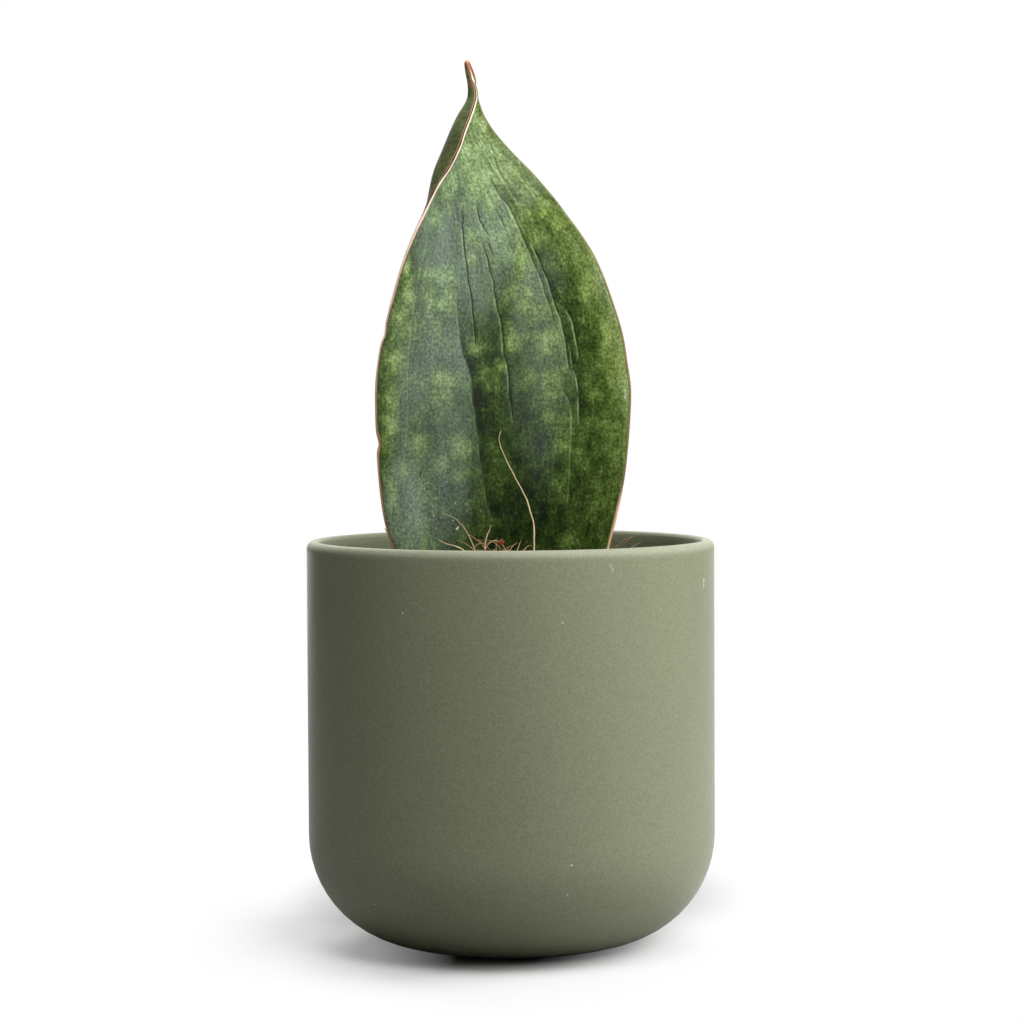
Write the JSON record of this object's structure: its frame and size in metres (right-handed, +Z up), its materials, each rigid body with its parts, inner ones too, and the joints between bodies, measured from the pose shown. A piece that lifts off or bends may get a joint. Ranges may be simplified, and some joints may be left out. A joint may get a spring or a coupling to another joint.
{
  "type": "potted shark fin snake plant",
  "caption": "Single broad, channelled, mottled snake plant leaf standing in soil in a round matte sage ceramic cover pot with a rounded foot.",
  "frame": {"origin": "on the floor, under the axis of the pot", "axes": "+Z up, along the pot's axis and the leaf; -Y is the side the leaf's hollow face looks to; +X is to the viewer's right from there"},
  "size_m": [0.15, 0.15, 0.3253],
  "materials": {
    "sage_glaze": "matte",
    "peat_mix": "matte",
    "leaf_skin": "satin",
    "tan_coir": "matte",
    "red_coir": "matte"
  },
  "bodies": {
    "root": {"cover_pot": "sage_glaze", "potting_soil": "peat_mix", "leaf": "leaf_skin", "front_coir_tuft": "tan_coir", "long_dry_strand": "tan_coir", "rear_coir_tuft": "red_coir"}
  },
  "joints": []
}
